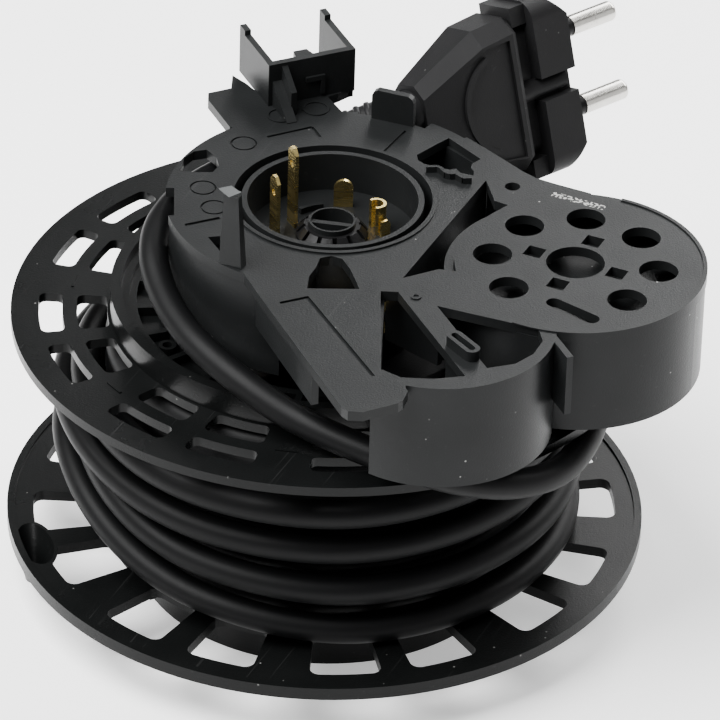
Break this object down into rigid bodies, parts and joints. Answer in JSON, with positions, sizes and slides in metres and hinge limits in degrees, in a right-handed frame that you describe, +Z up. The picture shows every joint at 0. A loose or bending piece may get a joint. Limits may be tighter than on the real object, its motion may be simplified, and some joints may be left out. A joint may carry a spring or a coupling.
{
  "type": "spring rewind cord reel",
  "caption": "Spring-rewind cord reel: flanged drum wound with flexible cord, fixed top moulding with round housings and brass terminals, friction brake and a two-pin plug on its lead.",
  "frame": {"origin": "on the drum axis at the underside of the spring cup, where the reel stands", "axes": "+Z up along the spindle, +X from the drum axis toward the centre of the large round housing"},
  "size_m": [0.1588, 0.1756, 0.1144],
  "materials": {
    "black_plastic": "satin black moulded plastic",
    "drum_plastic": "satin black moulded plastic, a little glossier than the frame",
    "plug_plastic": "fine-grained black moulded plug",
    "cord_black": "smooth satin black sheath",
    "brass": "bright stamped brass",
    "nickel": "polished nickel",
    "steel": "plain zinc-plated steel",
    "spring_steel": "blued spring steel",
    "carrier_plastic": "black insulating plastic",
    "roller_rubber": "dark grey rubber"
  },
  "bodies": {
    "frame": {"frame_moulding": "black_plastic", "contact_cup": "black_plastic", "terminal_tall": "brass", "terminal_short": "brass", "brush_outer": "brass", "brush_inner": "brass", "contact_tab": "brass", "contact_curl": "brass", "contact_stub": "brass", "terminal_link": "brass", "spindle": "black_plastic", "retaining_ring": "carrier_plastic", "lever_pin": "steel", "brake_spring": "spring_steel", "free_cord": "cord_black", "plug_body": "plug_plastic", "plug_pins": "nickel", "pin_sleeves": "carrier_plastic", "strain_relief": "plug_plastic"},
    "drum": {"drum_lower_half": "drum_plastic", "drum_upper_half": "drum_plastic", "spring_cover": "drum_plastic", "cover_screws": "steel", "mainspring": "spring_steel", "slip_ring_carrier": "carrier_plastic", "slip_ring_outer": "brass", "slip_ring_inner": "brass", "drum_screws": "steel", "cord_clamp": "carrier_plastic", "clamp_screws": "steel", "wound_cord": "cord_black"},
    "brake_lever": {"brake_lever": "black_plastic", "roller_pin": "steel"},
    "brake_roller": {"brake_roller": "roller_rubber"}
  },
  "joints": [
    {"name": "drum_spin", "type": "hinge", "parent": "frame", "child": "drum", "pos_m": [0, 0, 0], "axis": [0, 0, 1], "continuous": true},
    {"name": "brake_lever_swing", "type": "hinge", "parent": "frame", "child": "brake_lever", "pos_m": [0.07, -0.012, 0], "axis": [0, 0, -1], "range_deg": [0, 7], "stiffness_Nm_per_rad": 0.05, "springref_deg": -20.05},
    {"name": "roller_spin", "type": "hinge", "parent": "brake_lever", "child": "brake_roller", "pos_m": [0.05367, 0.00754, 0], "axis": [0, 0, 1], "continuous": true}
  ]
}
